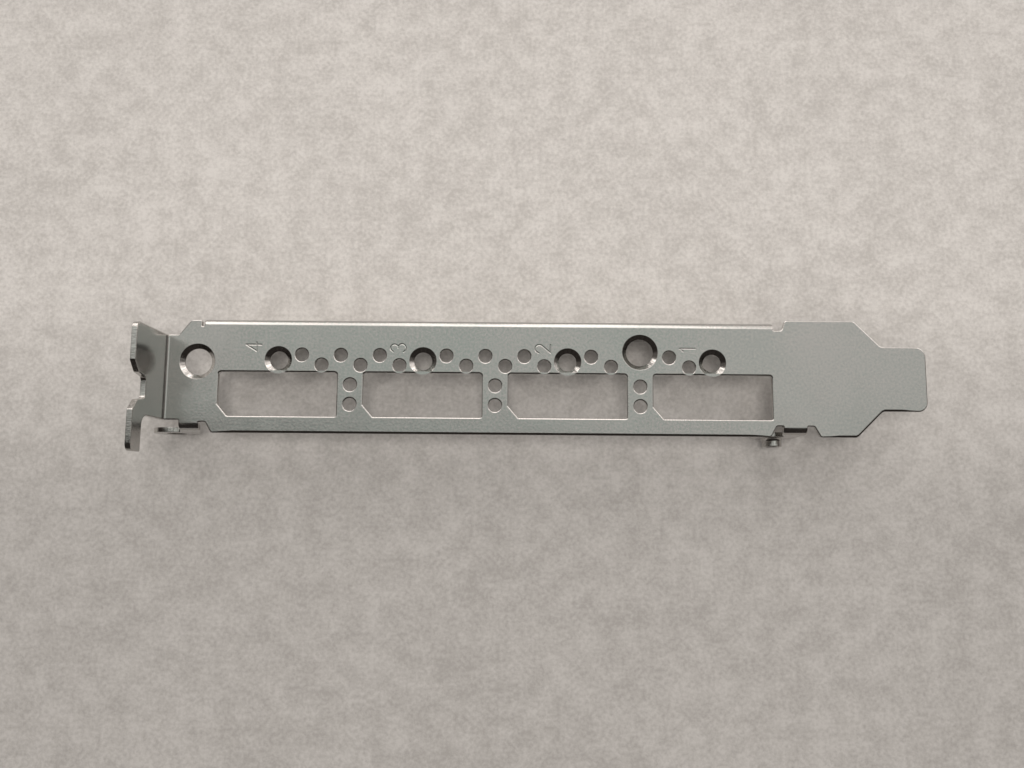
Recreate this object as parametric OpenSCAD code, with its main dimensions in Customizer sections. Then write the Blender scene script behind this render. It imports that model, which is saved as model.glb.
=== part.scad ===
// Full-height slot bracket for an expansion card with four connector openings.
// One folded sheet: face plate, fixing tab, long stiffening flange and two board tabs.
// It lies on its flange and board tabs, with its outside face up.
// X runs along the plate from the fixing tab to the tongue, Y across it, Z up.

/* [Sheet] */
// Thickness of the sheet
sheet_t = 0.86; // [0.6:0.02:1]
// Length from the outer face of the fixing tab to the tip of the tongue
overall_len = 120.02; // [119.5:0.02:122]
// Width of the plate at its widest
plate_w = 18.42; // [18.2:0.02:19.4]
// Height of the plate's outside face above the surface that the bracket lies on
lie_h = 12.7; // [12:0.1:14]

/* [Neck and fixing tab] */
// Inside radius of the fixing tab's bend
tab_bend_r = 0.4; // [0.2:0.05:0.6]
// Height of the fixing tab above the outside face
tab_h = 11.43; // [11.2:0.01:12.5]
// Distance of the neck's lower edge from the plate's lower edge
neck_y = 1.98; // [1.9:0.02:2.3]
// Width of the neck between plate and fixing tab
neck_w = 13.47; // [12.8:0.01:14.2]
// Where the shoulder starts to widen from the neck
shoulder_x = 2.6; // [2.2:0.1:3]
// Length of the shoulder's slope
shoulder_len = 1.85; // [1.2:0.05:2.2]
// How far the shoulder's flat lies below the plate's upper edge
shoulder_drop = 0.6; // [0.3:0.05:0.9]
// How far the ear reaches past the plate's lower edge
ear_reach = 3.45; // [2.8:0.05:4]
// Height of the ear's lower side above the outside face
ear_z = 8; // [7.4:0.1:8.6]
// Radius in the corner between ear and neck
ear_root_r = 1.7; // [1:0.1:2]
// Radius of the fixing tab's outer corners
tab_corner_r = 1.1; // [0.5:0.1:1.6]

/* [Screw slot] */
// Distance of the slot's middle from the plate's lower edge
slot_y = 6.08; // [5.6:0.02:6.6]
// Width of the slot at its floor
slot_w = 3.1; // [2.8:0.1:3.4]
// Width of the slot at the foot of its lead-in
slot_mouth_w = 3.9; // [3.7:0.1:4.4]
// Depth of the slot from the tab's free edge
slot_depth = 4.15; // [3.6:0.05:4.5]
// Lead-in at each side of the slot's mouth
slot_lead = 1.6; // [1:0.1:1.8]
// Radius of the slot's floor corners
slot_corner_r = 0.6; // [0.3:0.1:0.8]

/* [Flange] */
// Inside radius of the flange's bend
flange_bend_r = 0.2; // [0.1:0.05:0.4]
// How far the flange's outer face lies below the plate's upper edge
flange_drop = 0.42; // [0.2:0.02:0.6]
// Where the flange starts
flange_x = 6.5; // [6.2:0.1:7.2]
// Distance from the flange's end to the tongue's tip
flange_tip_gap = 23.82; // [23.2:0.02:25]
// Radius of the flange's lower corners
flange_corner_r = 1.5; // [0.5:0.1:2.5]
// Width of the relief cut at the flange's start
flange_slit_w = 0.4; // [0.3:0.05:0.6]
// Width of the relief notch at the flange's end
flange_notch_w = 1.9; // [1.5:0.1:2.2]
// How far both reliefs reach past the flange's bend line
relief_over = 0.12; // [0.05:0.01:0.2]

/* [Tongue] */
// Width of the tongue
tongue_w = 10.19; // [9.6:0.01:10.6]
// Length of the tongue past its sloped shoulders
tongue_len = 6.95; // [6.4:0.05:7.6]
// Length of each sloped shoulder
tongue_slope_len = 4.15; // [3.6:0.05:4.6]
// Radius of the tongue's tip corners
tongue_corner_r = 1.5; // [0.5:0.1:2.5]
// Radius of the other outline corners of head and tongue
head_corner_r = 1; // [0.4:0.1:1.4]

/* [Board tabs] */
// Inside radius of the board tabs' bends
board_bend_r = 0.3; // [0.15:0.05:0.4]
// Distance of the board tabs' outer faces inside the plate's lower edge
board_y = 0.4; // [0.2:0.05:0.5]
// Where the first board tab's root starts
root_a_x = 3.18; // [3:0.02:3.4]
// Width of the first board tab's root
root_a_w = 3.12; // [2.8:0.02:3.2]
// Distance from the start of the second board tab's root to the tongue's tip
root_b_tip_gap = 22.58; // [22.2:0.02:23]
// Width of the second board tab's root
root_b_w = 3.73; // [3.3:0.01:3.9]
// How far the first lug's middle lies before its root
lug_a_shift = 3.48; // [3:0.02:3.8]
// How far the second lug's middle lies past its root's start
lug_b_shift = 0.66; // [0.4:0.02:1]
// Radius of each round lug
lug_r = 3.6; // [3.3:0.1:3.8]
// How far the first arm's near side leans back before it meets its lug
arm_a_lean = -1.9; // [-2.4:0.1:-1]
// How far the second arm's near side leans in before it meets its lug
arm_b_lean = 1.6; // [1:0.1:2]
// Radius of the clearance hole in the first lug
clear_hole_r = 1.6; // [1.4:0.05:1.8]
// Radius of the tapping hole in the second lug
tap_hole_r = 1.25; // [1:0.05:1.3]
// Outer radius of the drawn collar round the tapping hole
collar_r = 1.58; // [1.5:0.02:1.8]
// Height of the drawn collar
collar_h = 1.4; // [1:0.1:1.6]
// Radius of the flare at the collar's foot
collar_flare_r = 0.5; // [0.2:0.05:0.6]
// Lead-in at the tapping hole's mouth
tap_lead = 0.25; // [0.1:0.05:0.4]
// Width of the clear cut beside a board tab's root
root_gap = 1.05; // [0.8:0.05:1.2]
// Length of the slope from that cut down to the plate's lower edge
root_slope_len = 0.95; // [0.6:0.05:1.2]

/* [Connector openings] */
// Number of openings
port_count = 4; // [4:1:4]
// Width of the web between two openings
web_w = 4.12; // [3.9:0.02:4.2]
// Where the first opening starts
port_x = 9.08; // [8.8:0.02:9.4]
// Distance of the openings from the plate's lower edge
port_y = 2.68; // [2.4:0.02:2.9]
// Width of each opening
port_w = 18.6; // [18:0.1:18.8]
// Height of each opening
port_h = 6.92; // [6.6:0.02:7]
// Length of each opening's cut corner along the plate
port_cut_x = 1.6; // [1:0.1:2]
// Height of each opening's cut corner
port_cut_y = 1.85; // [1:0.05:2.2]
// Radius of the other corners of the openings
port_r = 0.45; // [0.2:0.05:0.8]

/* [Countersunk holes] */
// Radius of the hole above each opening
shell_hole_r = 1.4; // [1.2:0.05:1.5]
// Outer radius of its countersink
shell_sink_r = 2.15; // [2:0.05:2.2]
// Distance of its middle from the opening's upper edge
shell_hole_gap = 1.95; // [1.8:0.05:2.4]
// Radius of the two larger holes
screw_hole_r = 2.1; // [1.8:0.05:2.2]
// Outer radius of their countersinks
screw_sink_r = 2.8; // [2.6:0.05:2.9]
// Place of the first larger hole along the plate
screw_a_x = 5.68; // [5.5:0.02:5.8]
// Distance of the first larger hole from the plate's lower edge
screw_a_y = 11.2; // [10.8:0.1:11.8]
// Distance of the second larger hole from the plate's lower edge
screw_b_y = 13.15; // [12.8:0.05:13.3]
// Which web between openings carries the second larger hole
screw_b_web = 3; // [1:1:3]
// Straight wall left under each countersink
sink_wall = 0.22; // [0.1:0.02:0.4]

/* [Vent holes] */
// Radius of the vent holes
vent_r = 1.02; // [0.8:0.02:1.1]
// Vent holes in each row between two openings' middles
vent_cols = 3; // [3:2:3]
// Distance from one vent hole to the next along a row
vent_pitch = 6.12; // [6:0.02:6.2]
// Shift of each row from the web's middle, to opposite sides
vent_shift = 1.56; // [1.4:0.02:1.7]
// Distance of the upper row from the plate's lower edge
vent_hi_y = 12.35; // [12.3:0.05:12.6]
// Distance of the lower row from the plate's lower edge
vent_lo_y = 10.77; // [10.7:0.01:10.9]
// Vent holes in each web
web_holes = 2; // [2:1:2]
// Distance of the lowest hole in each web from the plate's lower edge
web_hole_y = 4.6; // [4.2:0.1:4.8]
// Distance between the holes in a web
web_hole_pitch = 3.08; // [2.8:0.02:3.2]

/* [Hidden] */
$fn = 48;
arc_steps = 6;
cut = 1;
plate_mid_y = plate_w / 2;
neck_top = neck_y + neck_w;
tab_flat_x = sheet_t + tab_bend_r;
flange_y = plate_w - flange_drop;
flange_end_x = overall_len - flange_tip_gap;
flange_len = flange_end_x - flange_x;
flange_line_y = flange_y - flange_bend_r - sheet_t;
board_line_y = board_y + sheet_t + board_bend_r;
root_top_y = board_line_y + relief_over;
root_a_end = root_a_x + root_a_w;
root_b_x = overall_len - root_b_tip_gap;
root_b_end = root_b_x + root_b_w;
lug_z = lug_r - lie_h;
lug_a_x = root_a_x - lug_a_shift;
lug_b_x = root_b_x + lug_b_shift;
slope_start_x = overall_len - tongue_len - tongue_slope_len;
tongue_x = overall_len - tongue_len;
tongue_lo = plate_mid_y - tongue_w / 2;
tongue_hi = plate_mid_y + tongue_w / 2;
shoulder_y = plate_w - shoulder_drop;
port_pitch = port_w + web_w;
port_mid_x = port_x + port_w / 2;
shell_hole_y = port_y + port_h + shell_hole_gap;
screw_b_x = port_mid_x + port_pitch * (screw_b_web - 0.5);

// Middle of the bracket's box: the finished part stands on Z = 0 above the origin
box_lo_x = lug_a_x - lug_r;
box_mid_x = (box_lo_x + overall_len) / 2;
box_mid_y = (plate_w - ear_reach) / 2;

function unit(v) = v / norm(v);

// Arc that rounds corner b, between its neighbours a and c, with radius b[2]
function corner_arc(a, b, c) =
    let (
        p = [b[0], b[1]],
        u = unit([a[0], a[1]] - p),
        v = unit([c[0], c[1]] - p),
        half = acos(u * v) / 2,
        middle = p + unit(u + v) * b[2] / sin(half),
        from = p + u * b[2] / tan(half) - middle,
        to = p + v * b[2] / tan(half) - middle,
        start = atan2(from[1], from[0]),
        sweep = (atan2(to[1], to[0]) - start + 540) % 360 - 180
    )
    [for (i = [0 : arc_steps])
        middle + b[2] * [cos(start + sweep * i / arc_steps), sin(start + sweep * i / arc_steps)]];

// Closed outline through points [x, y, radius], with a sharp corner where the radius is 0
function rounded(points) =
    let (n = len(points))
    [for (i = [0 : n - 1])
        let (b = points[i])
        for (q = b[2] > 0 ? corner_arc(points[(i + n - 1) % n], b, points[(i + 1) % n]) : [[b[0], b[1]]])
            q];

// Quarter of a bent sheet: its axis is the origin's Z, and it runs from +X round to +Y
module quarter_bend(inner_r, length) {
    outer_r = inner_r + sheet_t;
    linear_extrude(length)
        intersection() {
            difference() {
                circle(outer_r);
                circle(inner_r);
            }
            square(outer_r + cut);
        }
}

// Outline of the flat plate, as far as its bend lines
module plate_outline() {
    polygon(rounded([
        [tab_flat_x, neck_y, 0],
        [root_a_x, neck_y, 0],
        [root_a_x, board_line_y, 0],
        [root_a_end, board_line_y, 0],
        [root_a_end, root_top_y, 0],
        [root_a_end + root_gap, root_top_y, 0.4],
        [root_a_end + root_gap + root_slope_len, 0, 0.3],
        [root_b_x - root_gap - root_slope_len, 0, 0.3],
        [root_b_x - root_gap, root_top_y, 0.4],
        [root_b_x, root_top_y, 0],
        [root_b_x, board_line_y, 0],
        [root_b_end, board_line_y, 0],
        [root_b_end, root_top_y, 0],
        [root_b_end + root_gap, root_top_y, 0.4],
        [root_b_end + root_gap + root_slope_len, 0, 0.3],
        [slope_start_x, 0, head_corner_r],
        [tongue_x, tongue_lo, head_corner_r],
        [overall_len, tongue_lo, tongue_corner_r],
        [overall_len, tongue_hi, tongue_corner_r],
        [tongue_x, tongue_hi, head_corner_r],
        [slope_start_x, plate_w, head_corner_r],
        [flange_end_x + flange_notch_w, plate_w, 0.4],
        [flange_end_x + flange_notch_w - 0.5, flange_line_y - relief_over, 0.6],
        [flange_end_x, flange_line_y - relief_over, 0],
        [flange_end_x, flange_line_y, 0],
        [flange_x, flange_line_y, 0],
        [flange_x, flange_line_y - relief_over, 0],
        [flange_x - flange_slit_w, flange_line_y - relief_over, 0],
        [flange_x - flange_slit_w, shoulder_y, 0.15],
        [shoulder_x + shoulder_len, shoulder_y, 0.4],
        [shoulder_x, neck_top, 0.3],
        [tab_flat_x, neck_top, 0]
    ]));
}

// One connector opening, with its lower left corner cut off
module port_outline() {
    polygon(rounded([
        [port_cut_x, 0, 0.2],
        [port_w, 0, 0.25],
        [port_w, port_h, port_r],
        [0, port_h, port_r],
        [0, port_cut_y, 0.2]
    ]));
}

// Fixing tab seen along the plate, with its ear and its open screw slot
module fixing_tab_outline() {
    floor_z = tab_h - slot_depth;
    lead_z = tab_h - slot_lead;
    polygon(rounded([
        [neck_top, tab_bend_r, 0],
        [neck_top, tab_h, tab_corner_r],
        [slot_y + slot_mouth_w / 2 + slot_lead, tab_h, 0.3],
        [slot_y + slot_mouth_w / 2, lead_z, 0.3],
        [slot_y + slot_w / 2, floor_z, slot_corner_r],
        [slot_y - slot_w / 2, floor_z, slot_corner_r],
        [slot_y - slot_mouth_w / 2, lead_z, 0.3],
        [slot_y - slot_mouth_w / 2 - slot_lead, tab_h, 0.3],
        [-ear_reach, tab_h, tab_corner_r],
        [-ear_reach, ear_z, 0.3],
        [neck_y, ear_z, ear_root_r],
        [neck_y, tab_bend_r, 0]
    ]));
}

// Tab that is folded up at the plate's end and screwed to the chassis
module fixing_tab() {
    rotate([90, 0, 90])
        linear_extrude(sheet_t)
            fixing_tab_outline();
    translate([tab_flat_x, neck_top, tab_bend_r])
        rotate([0, 180, 0])
            rotate([90, 0, 0])
                quarter_bend(tab_bend_r, neck_w);
}

// Stiffening flange that is folded down along the plate's upper edge
module flange() {
    fold_z = -sheet_t - flange_bend_r;
    translate([0, flange_y, 0])
        rotate([90, 0, 0])
            linear_extrude(sheet_t)
                polygon(rounded([
                    [flange_x, fold_z, 0],
                    [flange_x, -lie_h, flange_corner_r],
                    [flange_end_x, -lie_h, flange_corner_r],
                    [flange_end_x, fold_z, 0]
                ]));
    translate([flange_x, flange_line_y, fold_z])
        rotate([90, 0, 90])
            quarter_bend(flange_bend_r, flange_len);
}

// Point where the straight side from p touches the lug's circle round c
function lug_touch(p, c) =
    let (
        reach = norm(p - c),
        side = atan2(p[1] - c[1], p[0] - c[0]) - acos(lug_r / reach)
    )
    c + lug_r * [cos(side), sin(side)];

// Board tab: a fold, an arm that leans by lean, and a round lug in the middle lug_x
module board_tab(root_x, root_w, lug_x, lean) {
    fold_z = -sheet_t - board_bend_r;
    middle = [lug_x, lug_z];
    foot_x = root_x + lean;
    foot_z = lug_z + sqrt(pow(lug_r, 2) - pow(foot_x - lug_x, 2));
    translate([root_x + root_w, board_line_y, fold_z])
        rotate([90, 0, -90])
            quarter_bend(board_bend_r, root_w);
    translate([0, board_y + sheet_t, 0])
        rotate([90, 0, 0])
            linear_extrude(sheet_t)
                union() {
                    translate(middle)
                        circle(lug_r);
                    polygon([
                        [root_x, fold_z],
                        [foot_x, foot_z],
                        middle,
                        lug_touch([root_x + root_w, fold_z], middle),
                        [root_x + root_w, fold_z]
                    ]);
                }
}

// Drawn collar on the second lug's outer side, with a flared foot
module collar() {
    translate([lug_b_x, board_y, lug_z])
        rotate([90, 0, 0])
            rotate_extrude()
                difference() {
                    union() {
                        square([collar_r, collar_h]);
                        square([collar_r + collar_flare_r, collar_flare_r]);
                    }
                    translate([collar_r + collar_flare_r, collar_flare_r])
                        circle(collar_flare_r);
                }
}

// Round hole through a board tab, from beyond its collar to past its board side
module lug_hole(x, r) {
    translate([x, board_y + sheet_t + cut, lug_z])
        rotate([90, 0, 0])
            cylinder(r = r, h = sheet_t + collar_h + 2 * cut);
}

// Lead-in of the tapping hole on the board side
module tap_lead_in() {
    translate([lug_b_x, board_y + sheet_t + cut, lug_z])
        rotate([90, 0, 0])
            cylinder(r1 = tap_hole_r + tap_lead + cut, r2 = tap_hole_r, h = tap_lead + cut);
}

// Countersunk hole through the plate
module sunk_hole(x, y, hole_r, sink_r) {
    sink_h = sheet_t - sink_wall;
    translate([x, y, -sheet_t - cut])
        cylinder(r = hole_r, h = sheet_t + 2 * cut);
    translate([x, y, -sink_h])
        cylinder(r1 = hole_r, r2 = sink_r, h = sink_h);
    translate([x, y, 0])
        cylinder(r = sink_r, h = cut);
}

// Plain round hole through the plate
module vent_hole(x, y) {
    translate([x, y, -sheet_t - cut])
        cylinder(r = vent_r, h = sheet_t + 2 * cut);
}

// Openings for the connectors, each with the screw hole of its shell above it
module ports() {
    for (i = [0 : port_count - 1]) {
        translate([port_x + port_pitch * i, port_y, -sheet_t - cut])
            linear_extrude(sheet_t + 2 * cut)
                port_outline();
        sunk_hole(port_mid_x + port_pitch * i, shell_hole_y, shell_hole_r, shell_sink_r);
    }
}

// Vent holes over and in the webs between the openings
module vents() {
    middle_col = (vent_cols - 1) / 2;
    for (web = [1 : port_count - 1]) {
        web_x = port_mid_x + port_pitch * (web - 0.5);
        for (col = [0 : vent_cols - 1])
            if (web != screw_b_web || col != middle_col) {
                vent_hole(web_x - vent_shift + vent_pitch * (col - middle_col), vent_hi_y);
                vent_hole(web_x + vent_shift + vent_pitch * (col - middle_col), vent_lo_y);
            }
        for (row = [0 : web_holes - 1])
            vent_hole(web_x, web_hole_y + web_hole_pitch * row);
    }
}

// The whole folded sheet
module bracket() {
    color([0.62, 0.63, 0.6])
        translate([-box_mid_x, -box_mid_y, lie_h])
            difference() {
                union() {
                    translate([0, 0, -sheet_t])
                        linear_extrude(sheet_t)
                            plate_outline();
                    fixing_tab();
                    flange();
                    board_tab(root_a_x, root_a_w, lug_a_x, arm_a_lean);
                    board_tab(root_b_x, root_b_w, lug_b_x, arm_b_lean);
                    collar();
                }
                ports();
                vents();
                sunk_hole(screw_a_x, screw_a_y, screw_hole_r, screw_sink_r);
                sunk_hole(screw_b_x, screw_b_y, screw_hole_r, screw_sink_r);
                lug_hole(lug_a_x, clear_hole_r);
                lug_hole(lug_b_x, tap_hole_r);
                tap_lead_in();
            }
}

bracket();
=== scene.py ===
"""Full-height slot bracket: one folded, nickel-plated sheet lying on a foam mat.

The sheet is worked out as the press shop makes it. Its flat blank comes first:
one outline and the loops of its holes, each with the section that the punch
leaves along its wall. Then every leaf of the blank is rolled round its bend.
Sizes are in millimetres in the drawing's frame: X runs from the fixing tab's
outer face to the tongue, Y across from the plate's lower edge, and Z up from
the plate's outside face. Meshes are written in metres in the row frame.
"""
from __future__ import annotations

import logging
import math
from dataclasses import dataclass, field
from enum import Enum
from typing import Sequence, Union

import bpy
import numpy as np
from mathutils import Matrix, Vector
from mathutils.geometry import delaunay_2d_cdt


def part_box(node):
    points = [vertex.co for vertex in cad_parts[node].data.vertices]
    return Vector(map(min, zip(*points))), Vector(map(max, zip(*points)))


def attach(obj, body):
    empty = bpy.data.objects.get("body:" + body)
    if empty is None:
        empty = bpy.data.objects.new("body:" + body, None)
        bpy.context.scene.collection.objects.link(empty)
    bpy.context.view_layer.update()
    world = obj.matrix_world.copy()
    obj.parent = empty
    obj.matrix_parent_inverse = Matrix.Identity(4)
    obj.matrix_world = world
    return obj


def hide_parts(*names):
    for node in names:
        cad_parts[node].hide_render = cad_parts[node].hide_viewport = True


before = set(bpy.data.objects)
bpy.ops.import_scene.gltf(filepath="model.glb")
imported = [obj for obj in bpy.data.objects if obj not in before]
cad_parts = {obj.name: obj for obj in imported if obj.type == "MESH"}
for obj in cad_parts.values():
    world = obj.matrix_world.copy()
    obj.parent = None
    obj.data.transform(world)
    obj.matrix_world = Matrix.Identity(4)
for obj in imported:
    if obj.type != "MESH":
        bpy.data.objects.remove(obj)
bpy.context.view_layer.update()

LOG = logging.getLogger("slot_bracket")
MM = 0.001
Array = np.ndarray
Colour = tuple[float, float, float]
Socket = bpy.types.NodeSocket
Value = Union[float, Colour, Socket]


class BendAxis(Enum):
    """Blank coordinate that runs across a bend."""

    ALONG = 0
    ACROSS = 1


class FoldWay(Enum):
    """Side to which a leaf is folded, seen from the outside face."""

    UP = 1
    DOWN = -1


@dataclass(frozen=True)
class SheetSizes:
    """Driving sizes of the bracket, as its drawing names them."""

    sheet_t: float = 0.86
    overall_len: float = 120.02
    plate_w: float = 18.42
    lie_h: float = 12.7
    tab_bend_r: float = 0.4
    tab_h: float = 11.43
    neck_y: float = 1.98
    neck_w: float = 13.47
    shoulder_x: float = 2.6
    shoulder_len: float = 1.85
    shoulder_drop: float = 0.6
    ear_reach: float = 3.45
    ear_z: float = 8.0
    ear_root_r: float = 1.7
    tab_corner_r: float = 1.1
    slot_y: float = 6.08
    slot_w: float = 3.1
    slot_mouth_w: float = 3.9
    slot_depth: float = 4.15
    slot_lead: float = 1.6
    slot_corner_r: float = 0.6
    flange_bend_r: float = 0.2
    flange_drop: float = 0.42
    flange_x: float = 6.5
    flange_tip_gap: float = 23.82
    flange_corner_r: float = 1.5
    flange_slit_w: float = 0.4
    flange_notch_w: float = 1.9
    relief_over: float = 0.12
    tongue_w: float = 10.19
    tongue_len: float = 6.95
    tongue_slope_len: float = 4.15
    tongue_corner_r: float = 1.5
    head_corner_r: float = 1.0
    board_bend_r: float = 0.3
    board_y: float = 0.4
    root_a_x: float = 3.18
    root_a_w: float = 3.12
    root_b_tip_gap: float = 22.58
    root_b_w: float = 3.73
    lug_a_shift: float = 3.48
    lug_b_shift: float = 0.66
    lug_r: float = 3.6
    arm_a_lean: float = -1.9
    arm_b_lean: float = 1.6
    clear_hole_r: float = 1.6
    tap_hole_r: float = 1.25
    collar_r: float = 1.58
    collar_h: float = 1.4
    collar_flare_r: float = 0.5
    tap_lead: float = 0.25
    root_gap: float = 1.05
    root_slope_len: float = 0.95
    port_count: int = 4
    web_w: float = 4.12
    port_x: float = 9.08
    port_y: float = 2.68
    port_w: float = 18.6
    port_h: float = 6.92
    port_cut_x: float = 1.6
    port_cut_y: float = 1.85
    port_r: float = 0.45
    shell_hole_r: float = 1.4
    shell_sink_r: float = 2.15
    shell_hole_gap: float = 1.95
    screw_hole_r: float = 2.1
    screw_sink_r: float = 2.8
    screw_a_x: float = 5.68
    screw_a_y: float = 11.2
    screw_b_y: float = 13.15
    screw_b_web: int = 3
    sink_wall: float = 0.22
    vent_r: float = 1.02
    vent_cols: int = 3
    vent_pitch: float = 6.12
    vent_shift: float = 1.56
    vent_hi_y: float = 12.35
    vent_lo_y: float = 10.77
    web_holes: int = 2
    web_hole_y: float = 4.6
    web_hole_pitch: float = 3.08

    @property
    def neck_top(self) -> float:
        """Upper edge of the neck and of the fixing tab."""
        return self.neck_y + self.neck_w

    @property
    def tab_line_x(self) -> float:
        """Bend line of the fixing tab."""
        return self.sheet_t + self.tab_bend_r

    @property
    def flange_end_x(self) -> float:
        """Where the flange ends."""
        return self.overall_len - self.flange_tip_gap

    @property
    def flange_line_y(self) -> float:
        """Bend line of the flange."""
        return self.plate_w - self.flange_drop - self.flange_bend_r - self.sheet_t

    @property
    def board_line_y(self) -> float:
        """Bend line of the board tabs."""
        return self.board_y + self.sheet_t + self.board_bend_r

    @property
    def root_top_y(self) -> float:
        """Upper edge of the cuts beside the board tabs' roots."""
        return self.board_line_y + self.relief_over

    @property
    def root_b_x(self) -> float:
        """Where the second board tab's root starts."""
        return self.overall_len - self.root_b_tip_gap

    @property
    def lug_a_x(self) -> float:
        """Middle of the first lug."""
        return self.root_a_x - self.lug_a_shift

    @property
    def lug_b_x(self) -> float:
        """Middle of the second lug."""
        return self.root_b_x + self.lug_b_shift

    @property
    def lug_z(self) -> float:
        """Height of both lugs' middles."""
        return self.lug_r - self.lie_h

    @property
    def port_pitch(self) -> float:
        """Distance from one opening to the next."""
        return self.port_w + self.web_w

    @property
    def port_mid_x(self) -> float:
        """Middle of the first opening."""
        return self.port_x + self.port_w / 2

    @property
    def shell_hole_y(self) -> float:
        """Height of the small countersunk holes on the plate."""
        return self.port_y + self.port_h + self.shell_hole_gap


@dataclass(frozen=True)
class Bend:
    """One bend of the sheet, with the rule that rolls a leaf of the blank round it."""

    axis: BendAxis
    line: float
    side: int
    inner_r: float
    way: FoldWay
    sheet_t: float
    root: tuple[float, float]
    spread: tuple[float, float]
    spread_from: float
    steps: int = 12

    @property
    def arc_len(self) -> float:
        """Length of the bend in the blank, along the sheet's middle."""
        return (self.inner_r + self.sheet_t / 2) * math.pi / 2

    def past(self, blank: Array) -> Array:
        """Distance of blank points past the bend line."""
        return self.side * (blank[:, self.axis.value] - self.line)

    def on_leaf(self, blank: Array) -> Array:
        """Mask of the blank points past the line: between the root's limits, and further
        out between the wider limits to which the leaf spreads."""
        other, past = blank[:, 1 - self.axis.value], self.past(blank)
        near = (other > self.root[0]) & (other < self.root[1])
        far = (past > self.spread_from) & (other > self.spread[0]) & (other < self.spread[1])
        return (past > 1e-9) & (near | far)

    def blank_at(self, drop: float) -> float:
        """Blank coordinate of a point on the straight part of the leaf.

        Args:
            drop: Distance of the point from the plate's outside face, along the leaf.

        Returns:
            The coordinate on the bend's axis.
        """
        start = self.inner_r if self.way is FoldWay.UP else self.inner_r + self.sheet_t
        return self.line + self.side * (self.arc_len + drop - start)

    def rows(self) -> Array:
        """Blank coordinates of the rows across the bend, from its line to its far end."""
        return self.line + self.side * np.linspace(0.0, self.arc_len, self.steps + 1)

    def roll(self, pick: Array, points: Array, normals: Array) -> None:
        """Rolls the leaf's points and normals round the bend, in place.

        A point at distance s past the line goes round by the angle s / r, where r is
        the radius of the sheet's middle, and what is left of s goes straight on. Its
        depth in the sheet sets the radius on which it travels.

        Args:
            pick: Mask of the points on this leaf.
            points: Blank points, as columns x, y and height over the outside face.
            normals: Normals at those points.
        """
        a = self.axis.value
        past = self.past(points[pick])
        depth = -points[pick, 2]
        middle_r = self.inner_r + self.sheet_t / 2
        turn = np.clip(past / middle_r, 0.0, math.pi / 2)
        straight = np.maximum(past - self.arc_len, 0.0)
        sin, cos = np.sin(turn), np.cos(turn)
        up = float(self.way.value)
        if self.way is FoldWay.UP:
            radius = self.inner_r + depth
            centre = self.inner_r
        else:
            radius = self.inner_r + self.sheet_t - depth
            centre = -self.inner_r - self.sheet_t
        points[pick, a] = self.line + self.side * (radius * sin + straight * cos)
        points[pick, 2] = centre - up * radius * cos + up * straight * sin
        out = self.side * normals[pick, a]
        rise = normals[pick, 2]
        normals[pick, a] = self.side * (out * cos - up * rise * sin)
        normals[pick, 2] = up * out * sin + rise * cos


def unit(vectors: Array) -> Array:
    """Rows of vectors, each made one long."""
    return vectors / np.maximum(np.linalg.norm(vectors, axis=-1, keepdims=True), 1e-12)


def rounded_loop(corners: Array, steps: int = 8) -> Array:
    """Closed outline through corners, with an arc in each corner that has a radius.

    The arc's middle lies on the corner's bisector, radius / sin(half the angle) from
    the corner, and the arc sweeps between the two sides' feet.

    Args:
        corners: Rows of x, y and corner radius.
        steps: Pieces in each arc.

    Returns:
        Rows of x and y.
    """
    p, r = corners[:, :2], corners[:, 2:3]
    u = unit(np.roll(p, 1, axis=0) - p)
    v = unit(np.roll(p, -1, axis=0) - p)
    half = np.arccos(np.clip((u * v).sum(axis=1, keepdims=True), -1, 1)) / 2
    middle = p + unit(u + v) * r / np.sin(half)
    start = p + u * r / np.tan(half) - middle
    end = p + v * r / np.tan(half) - middle
    angle = np.arctan2(start[:, 1], start[:, 0])
    sweep = (np.arctan2(end[:, 1], end[:, 0]) - angle + 3 * math.pi) % (2 * math.pi) - math.pi
    turn = angle[:, None] + sweep[:, None] * np.linspace(0, 1, steps + 1)[None, :]
    arcs = middle[:, None, :] + r[:, None, :] * np.stack([np.cos(turn), np.sin(turn)], axis=2)
    loop = arcs.reshape(-1, 2)
    keep = np.linalg.norm(loop - np.roll(loop, 1, axis=0), axis=1) > 1e-6
    return loop[keep]


def circle_loop(x: float, y: float, radius: float, count: int) -> Array:
    """Hole loop round (x, y), clockwise, so that the sheet is on its left."""
    turn = -2 * math.pi * (np.arange(count) + 0.5) / count
    return np.stack([x + radius * np.cos(turn), y + radius * np.sin(turn)], axis=1)


def split_long(loop: Array, longest: float) -> Array:
    """Loop with every side cut into equal pieces no longer than the given length."""
    side = np.roll(loop, -1, axis=0) - loop
    pieces = np.maximum(np.ceil(np.linalg.norm(side, axis=1) / longest - 1e-9), 1).astype(int)
    owner = np.repeat(np.arange(len(loop)), pieces)
    first = np.repeat(np.cumsum(pieces) - pieces, pieces)
    part = (np.arange(len(owner)) - first) / np.repeat(pieces, pieces)
    return loop[owner] + side[owner] * part[:, None]


def cut_at_row(loop: Array, bend: Bend, row: float) -> Array:
    """Loop with a point wherever a leaf's side crosses a row of its bend.

    Args:
        loop: Rows of x and y.
        bend: The bend whose leaf is crossed.
        row: The row's coordinate on the bend's axis.

    Returns:
        The loop with the crossing points put in.
    """
    a = bend.axis.value
    after = np.roll(loop, -1, axis=0)
    from_row, to_row = loop[:, a] - row, after[:, a] - row
    other = loop[:, 1 - a]
    inside = (other > bend.root[0]) & (other < bend.root[1])
    cross = np.flatnonzero((from_row * to_row < -1e-12) & inside
                           & (np.minimum(np.abs(from_row), np.abs(to_row)) > 1e-6))
    share = (from_row[cross] / (from_row[cross] - to_row[cross]))[:, None]
    points = loop[cross] + (after[cross] - loop[cross]) * share
    return np.insert(loop, cross + 1, points, axis=0)


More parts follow.
